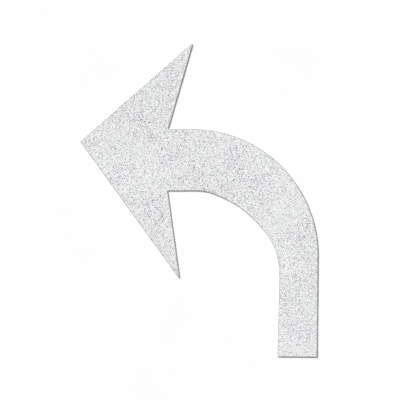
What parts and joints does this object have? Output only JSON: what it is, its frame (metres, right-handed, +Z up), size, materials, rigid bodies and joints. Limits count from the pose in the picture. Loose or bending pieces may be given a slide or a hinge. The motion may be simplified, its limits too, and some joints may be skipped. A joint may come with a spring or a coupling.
{
  "type": "left-turn arrow pavement marking",
  "caption": "Flat white left-turn arrow road marking of preformed thermoplastic, with a beaded, gritty top face and a tapering curved shaft.",
  "frame": {"origin": "on the road surface, under the middle of the arrow's bounding box", "axes": "+Z up from the road; +Y along the lane, the way the traffic drives, from the foot to the head's end; +X to the driver's right, away from the nose"},
  "size_m": [1.8629, 2.4384, 0.0032],
  "materials": {
    "thermoplastic": "white alkyd thermoplastic, matt, with cut edges",
    "bead_coat": "thermoplastic filled with glass beads, dull and finely pitted",
    "glass_beads": "clear round reflective beads, half sunk in the top face",
    "grit": "crushed anti-skid aggregate, sharp and matt"
  },
  "bodies": {
    "root": {"nose_slab": "thermoplastic", "upper_barb_slab": "thermoplastic", "lower_barb_slab": "thermoplastic", "neck_bend_slab": "thermoplastic", "shaft_bend_slab": "thermoplastic", "foot_slab": "thermoplastic", "nose_bead_coat": "bead_coat", "upper_barb_bead_coat": "bead_coat", "lower_barb_bead_coat": "bead_coat", "neck_bend_bead_coat": "bead_coat", "shaft_bend_bead_coat": "bead_coat", "foot_bead_coat": "bead_coat"}
  },
  "joints": []
}
